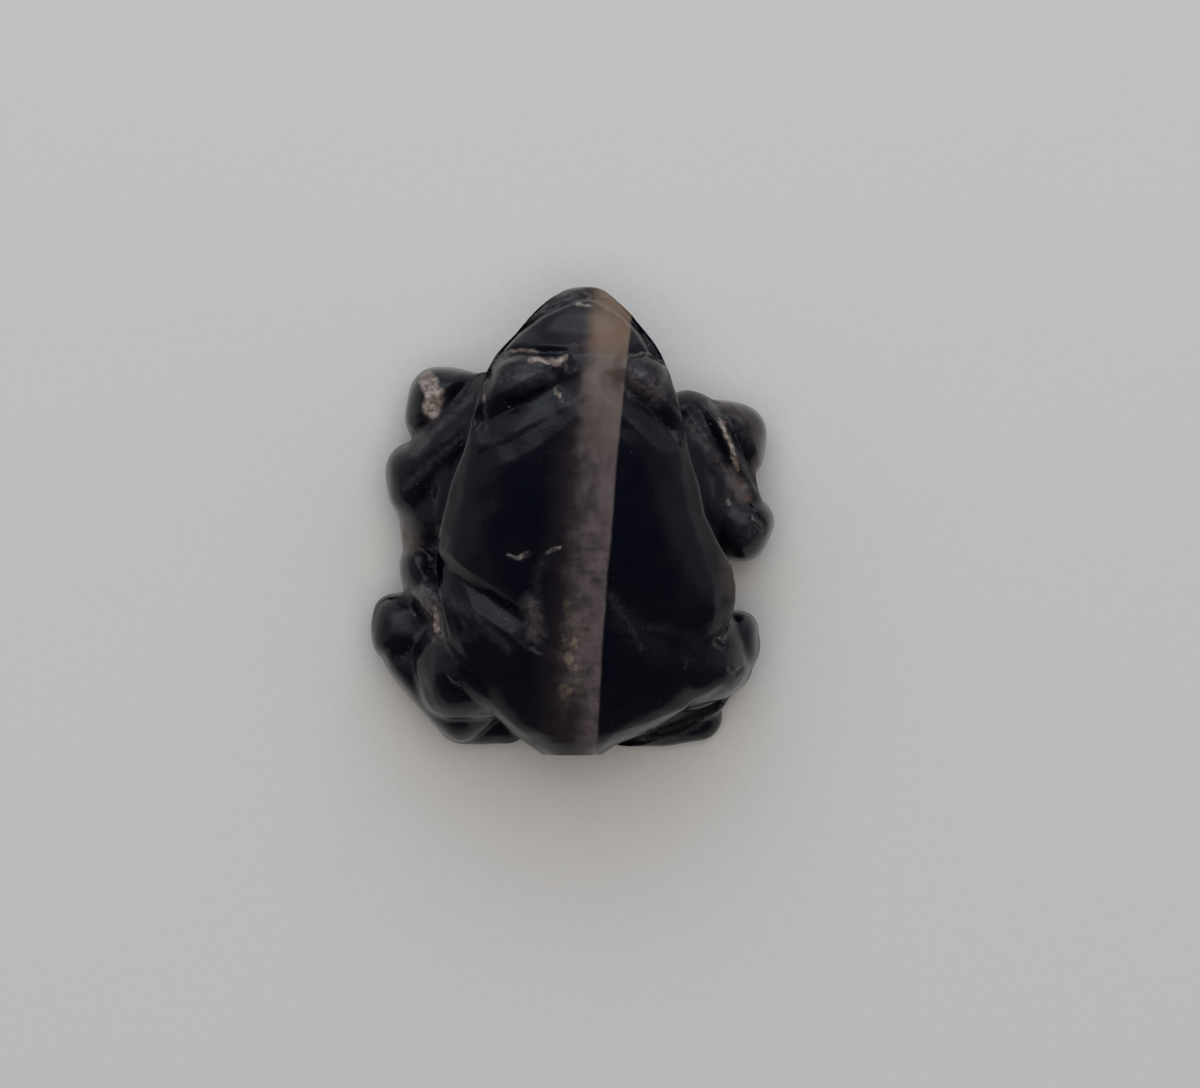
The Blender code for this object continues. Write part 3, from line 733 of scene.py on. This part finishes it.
def blend(tree, share, first, second):
    """A colour between two, by share."""
    mix = add(tree, "ShaderNodeMix", data_type="RGBA")
    for index, value in ((0, share), (6, first), (7, second)):
        if isinstance(value, bpy.types.NodeSocket):
            tree.links.new(value, mix.inputs[index])
        elif index:
            mix.inputs[index].default_value = (*value, 1.0)
        else:
            mix.inputs[index].default_value = value
    return mix.outputs[2]


def cloud(tree, place, scale, detail=3.0, roughness=0.5):
    return add(
        tree,
        "ShaderNodeTexNoise",
        {"Vector": place, "Scale": scale, "Detail": detail, "Roughness": roughness},
    ).outputs["Fac"]


def marked(tree, name):
    """A mark recorded on the skin."""
    return add(tree, "ShaderNodeAttribute", attribute_name=name).outputs["Fac"]


def scaled(tree, place, across, along, up):
    """The place, stretched by a factor along each axis."""
    return add(
        tree, "ShaderNodeMapping", {"Vector": place, "Scale": (across, along, up)}
    ).outputs["Vector"]


def banded_agate():
    """Near-black worn agate with one pale layer running from nose to tail."""
    stone = bpy.data.materials.new("banded_agate")
    stone.use_nodes = True
    tree = stone.node_tree
    shader = tree.nodes["Principled BSDF"]
    metres = add(tree, "ShaderNodeTexCoord").outputs["Object"]
    place = scaled(tree, metres, *(100 / BEAD_LENGTH,) * 3)
    split = add(tree, "ShaderNodeSeparateXYZ", {"Vector": place})
    across, along = split.outputs["X"], split.outputs["Y"]

    # The layer's two edges: the right one crisp, the left one melting away
    wander = calc(tree, "MULTIPLY_ADD", cloud(tree, place, 0.10, 2.0), 0.9, -0.45)
    across_right = calc(tree, "ADD", across, wander)
    melt = calc(tree, "MULTIPLY_ADD", cloud(tree, place, 0.25, 4.0, 0.6), 5.0, -2.5)
    across_left = calc(tree, "ADD", across, melt)
    bend = calc(tree, "MULTIPLY", calc(tree, "POWER", along, 2.0), LAYER_BEND)
    slanted = calc(tree, "MULTIPLY_ADD", along, LAYER_RIGHT_SLANT, LAYER_RIGHT)
    right_edge = calc(tree, "ADD", slanted, bend)
    left_edge = calc(tree, "MULTIPLY_ADD", along, LAYER_LEFT_SLANT, LAYER_LEFT)
    past_left = calc(tree, "SUBTRACT", across_left, left_edge)
    short_of_right = calc(tree, "SUBTRACT", right_edge, across_right)
    layer = calc(
        tree,
        "MULTIPLY",
        ramp(tree, past_left, -2.6, 2.6),
        ramp(tree, short_of_right, -0.3, 0.4),
    )
    haze = calc(
        tree,
        "MULTIPLY",
        ramp(tree, past_left, -8.0, -1.5),
        ramp(tree, short_of_right, 0.0, 1.0),
    )

    # The dark stone, slightly clouded, and the brown haze beside the layer
    dark = blend(tree, cloud(tree, place, 0.09, 4.0), DARK_STONE, DARK_STONE_CLOUDED)
    dark = blend(tree, haze, dark, BROWN_HAZE)

    # The pale layer: faint streaks and cross ripples, lighter towards the head,
    # tan at the nose, mottled and then dimmer towards the tail
    tone = cloud(tree, scaled(tree, place, 1.0, 0.55, 1.0), 0.36, 4.0, 0.55)
    ripple = cloud(tree, scaled(tree, place, 0.22, 1.0, 0.22), 0.75, 2.0, 0.5)
    ripple = calc(tree, "SUBTRACT", ripple, 0.5)
    ripple = calc(tree, "MULTIPLY", ripple, ramp(tree, along, 10.0, -16.0))
    tone = calc(tree, "MULTIPLY_ADD", tone, 0.55, calc(tree, "MULTIPLY", ripple, 0.32))
    tone = calc(tree, "MULTIPLY_ADD", ramp(tree, short_of_right, 5.5, 0.0), 0.07, tone)
    pale = blend(tree, ramp(tree, tone, 0.12, 0.44), PALE_LAYER_DIM, PALE_LAYER)
    headwards = calc(tree, "MULTIPLY", ramp(tree, along, 8.0, 30.0), 0.75)
    pale = blend(tree, headwards, pale, PALE_LAYER_HEAD)
    pale = blend(tree, ramp(tree, along, 33.0, 38.5), pale, TAN_NOSE)
    from_left = calc(tree, "SUBTRACT", across, left_edge)
    patchy = cloud(tree, scaled(tree, place, 1.0, 0.8, 1.0), 0.40, 5.0, 0.65)
    patches = ramp(tree, patchy, 0.46, 0.66)
    low = calc(tree, "MULTIPLY", ramp(tree, along, -15.0, -22.0), ramp(tree, along, -47.0, -36.0))
    left_half = ramp(tree, from_left, 6.5, 1.5)
    mottle = calc(tree, "MULTIPLY", calc(tree, "MULTIPLY", patches, low), left_half)
    ragged = calc(tree, "MULTIPLY_ADD", patches, 1.2, 0.4)
    blotch = calc(tree, "MULTIPLY", marked(tree, "patch"), ragged)
    mottle = calc(tree, "MULTIPLY_ADD", mottle, 0.55, ramp(tree, blotch, 0.1, 0.8))
    pale = blend(tree, calc(tree, "MINIMUM", mottle, 1.0), pale, YELLOW_PATCH)
    pits = ramp(tree, cloud(tree, place, 0.9, 3.0), 0.60, 0.74)
    pits = calc(tree, "MULTIPLY", pits, ramp(tree, along, -12.0, -24.0))
    pale = blend(tree, calc(tree, "MULTIPLY", pits, 0.45), pale, GREEN_PIT)
    tailwards = ramp(tree, along, -32.0, -42.0)
    tailwards = calc(tree, "MULTIPLY", tailwards, ramp(tree, from_left, 6.5, 2.5))
    pale = blend(tree, calc(tree, "MULTIPLY", tailwards, 0.85), pale, PALE_LAYER_TAIL)
    colour = blend(tree, layer, dark, pale)

    # Painted glow of light through thin edges, painted sheen mixed with soft smears, dulled crests,
    # grainy chips mixed with painted highlights, and dust specks mixed with painted sparkle
    glow, chip_and_highlight_marks = marked(tree, "glow"), marked(tree, "chip_and_highlight_marks")
    colour = blend(tree, glow, colour, THIN_GLOW)
    crest = calc(tree, "MULTIPLY", marked(tree, "crest"), 0.12)
    colour = blend(tree, crest, colour, RUBBED_CREST)
    uneven = ramp(tree, cloud(tree, place, 0.8, 4.0, 0.60), 0.34, 0.66)
    # Painted sheen and pale smears, broken up by noise
    sheen_and_smear = ramp(tree, marked(tree, "sheen_and_smear"), 0.0, 1.0)
    sheen_and_smear = calc(tree, "MULTIPLY", sheen_and_smear, calc(tree, "MULTIPLY_ADD", uneven, 0.85, 0.35))
    colour = blend(tree, calc(tree, "MINIMUM", sheen_and_smear, 1.0), colour, SHEEN_AND_SMEAR_COLOUR)
    grain = cloud(tree, place, 2.6, 5.0, 0.65)
    # Chips and worn places, together with painted highlights and glints, get a grainy pale colour
    chip_and_highlight_share = calc(tree, "MULTIPLY_ADD", ramp(tree, grain, 0.38, 0.60), 0.4, 0.6)
    chip_and_highlight_share = calc(tree, "MULTIPLY", ramp(tree, chip_and_highlight_marks, 0.0, 0.8), chip_and_highlight_share)
    glinting = ramp(tree, cloud(tree, place, 0.6, 3.0, 0.5), 0.42, 0.62)
    broken = blend(tree, glinting, CHIP_AND_HIGHLIGHT, CHIP_AND_HIGHLIGHT_BRIGHT)
    colour = blend(tree, chip_and_highlight_share, colour, broken)
    # Pale specks of dust and painted sparkle, gathered in hollows and painted sheen
    dust_and_sparkle_specks = ramp(tree, cloud(tree, place, 2.1, 1.0), 0.725, 0.775)
    areas = ramp(tree, cloud(tree, place, 0.11, 2.0), 0.46, 0.66)
    hollow = marked(tree, "hollow")
    areas = calc(tree, "MULTIPLY_ADD", areas, 0.18, calc(tree, "ADD", hollow, sheen_and_smear))
    dust_and_sparkle_specks = calc(tree, "MULTIPLY", dust_and_sparkle_specks, calc(tree, "MINIMUM", areas, 1.0))
    colour = blend(tree, dust_and_sparkle_specks, colour, DUST_AND_SPARKLE_SPECK)
    tree.links.new(colour, shader.inputs["Base Color"])

    # Old polish, duller in the grooves and on the breaks
    polish = add(
        tree,
        "ShaderNodeMapRange",
        {"Value": cloud(tree, place, 0.35, 4.0), "To Min": POLISH[0], "To Max": POLISH[1]},
    ).outputs["Result"]
    dull = calc(tree, "MULTIPLY_ADD", hollow, 0.12, polish)
    dull = calc(tree, "MULTIPLY_ADD", chip_and_highlight_share, 0.30, dull)
    tree.links.new(calc(tree, "MINIMUM", dull, 0.85), shader.inputs["Roughness"])
    shader.inputs["IOR"].default_value = STONE_IOR

    # Fine unevenness of the polish and the roughness of the breaks
    height = calc(tree, "MULTIPLY_ADD", grain, 0.30, calc(tree, "MULTIPLY", uneven, 0.20))
    rough = calc(tree, "MULTIPLY", calc(tree, "MULTIPLY", chip_and_highlight_share, grain), 1.5)
    bump = add(
        tree,
        "ShaderNodeBump",
        {
            "Height": calc(tree, "ADD", height, rough),
            "Strength": STONE_BUMP,
            "Distance": BEAD_LENGTH / 100 * STONE_BUMP_DEPTH,
        },
    )
    tree.links.new(bump.outputs["Normal"], shader.inputs["Normal"])
    return stone


def table_paper():
    """Smooth white paper with a faint fibre and cloudiness."""
    paper = bpy.data.materials.new("table_paper")
    paper.use_nodes = True
    tree = paper.node_tree
    shader = tree.nodes["Principled BSDF"]
    metres = add(tree, "ShaderNodeTexCoord").outputs["Object"]
    cloudy = cloud(tree, metres, 60.0, 3.0)
    fibre = cloud(tree, metres, 2600.0, 3.0, 0.6)
    cloudy = calc(tree, "MULTIPLY", cloudy, 0.5)
    shade = calc(tree, "MULTIPLY_ADD", ramp(tree, fibre, 0.3, 0.7), 0.5, cloudy)
    tree.links.new(blend(tree, shade, PAPER, PAPER_SHADED), shader.inputs["Base Color"])
    shader.inputs["Roughness"].default_value = PAPER_ROUGHNESS
    bump = add(
        tree,
        "ShaderNodeBump",
        {"Height": fibre, "Strength": PAPER_BUMP, "Distance": PAPER_BUMP_DEPTH},
    )
    tree.links.new(bump.outputs["Normal"], shader.inputs["Normal"])
    return paper


def table():
    bm = bmesh.new()
    bmesh.ops.create_grid(bm, x_segments=1, y_segments=1, size=1.5)
    obj = mesh_object("table", bm)
    obj.data.materials.append(table_paper())
    return obj


def soft_light(name, place, width, height, power, colour, mirrored):
    """A soft rectangular light that faces the bead."""
    lamp = bpy.data.lights.new(name, "AREA")
    lamp.shape = "RECTANGLE"
    lamp.size = width
    lamp.size_y = height
    lamp.energy = power
    lamp.color = colour
    obj = bpy.data.objects.new(name, lamp)
    turn = Vector(place).to_track_quat("Z", "Y").to_matrix().to_4x4()
    obj.matrix_world = Matrix.Translation(place) @ turn
    obj.visible_glossy = mirrored
    bpy.context.scene.collection.objects.link(obj)


def dim_room():
    """Surroundings dark overhead, dimly lit lower down and least behind the tail."""
    world = bpy.data.worlds.new("dim_room")
    world.use_nodes = True
    tree = world.node_tree
    tree.nodes.clear()
    view = add(tree, "ShaderNodeTexCoord").outputs["Generated"]
    split = add(tree, "ShaderNodeSeparateXYZ", {"Vector": view})
    lit = ramp(tree, split.outputs["Z"], *ROOM_UPWARD)
    toward_head = ramp(tree, split.outputs["Y"], *ROOM_HEADWARD)
    share = calc(tree, "MULTIPLY_ADD", toward_head, 1 - ROOM_BEHIND_TAIL, ROOM_BEHIND_TAIL)
    colour = blend(tree, calc(tree, "MULTIPLY", lit, share), ROOM_OVERHEAD, ROOM_AROUND)
    back = add(tree, "ShaderNodeBackground", {"Color": colour, "Strength": 1.0})
    add(tree, "ShaderNodeOutputWorld", {"Surface": back.outputs[0]})
    bpy.context.scene.world = world


def studio():
    for name, light in LIGHTS.items():
        soft_light(name, *light)
    dim_room()
    bpy.context.scene.view_settings.view_transform = "Standard"


def camera():
    """Straight above, framed as in the photograph."""
    lens = bpy.data.cameras.new("camera")
    lens.lens = LENS
    lens.sensor_width = SENSOR
    pixel = BEAD_LENGTH / BEAD_PIXELS
    distance = FRAME_WIDTH * pixel * LENS / SENSOR
    lens.clip_start = 0.01
    obj = bpy.data.objects.new("camera", lens)
    across, along = FRAME_SHIFT
    obj.location = (across * pixel, along * pixel, FRAMED_HEIGHT + distance)
    bpy.context.scene.collection.objects.link(obj)
    bpy.context.scene.camera = obj


frog = carved_frog()
frog.data.materials.clear()
frog.data.materials.append(banded_agate())
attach(frog, "root")
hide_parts("frog_bead")
table()
studio()
camera()
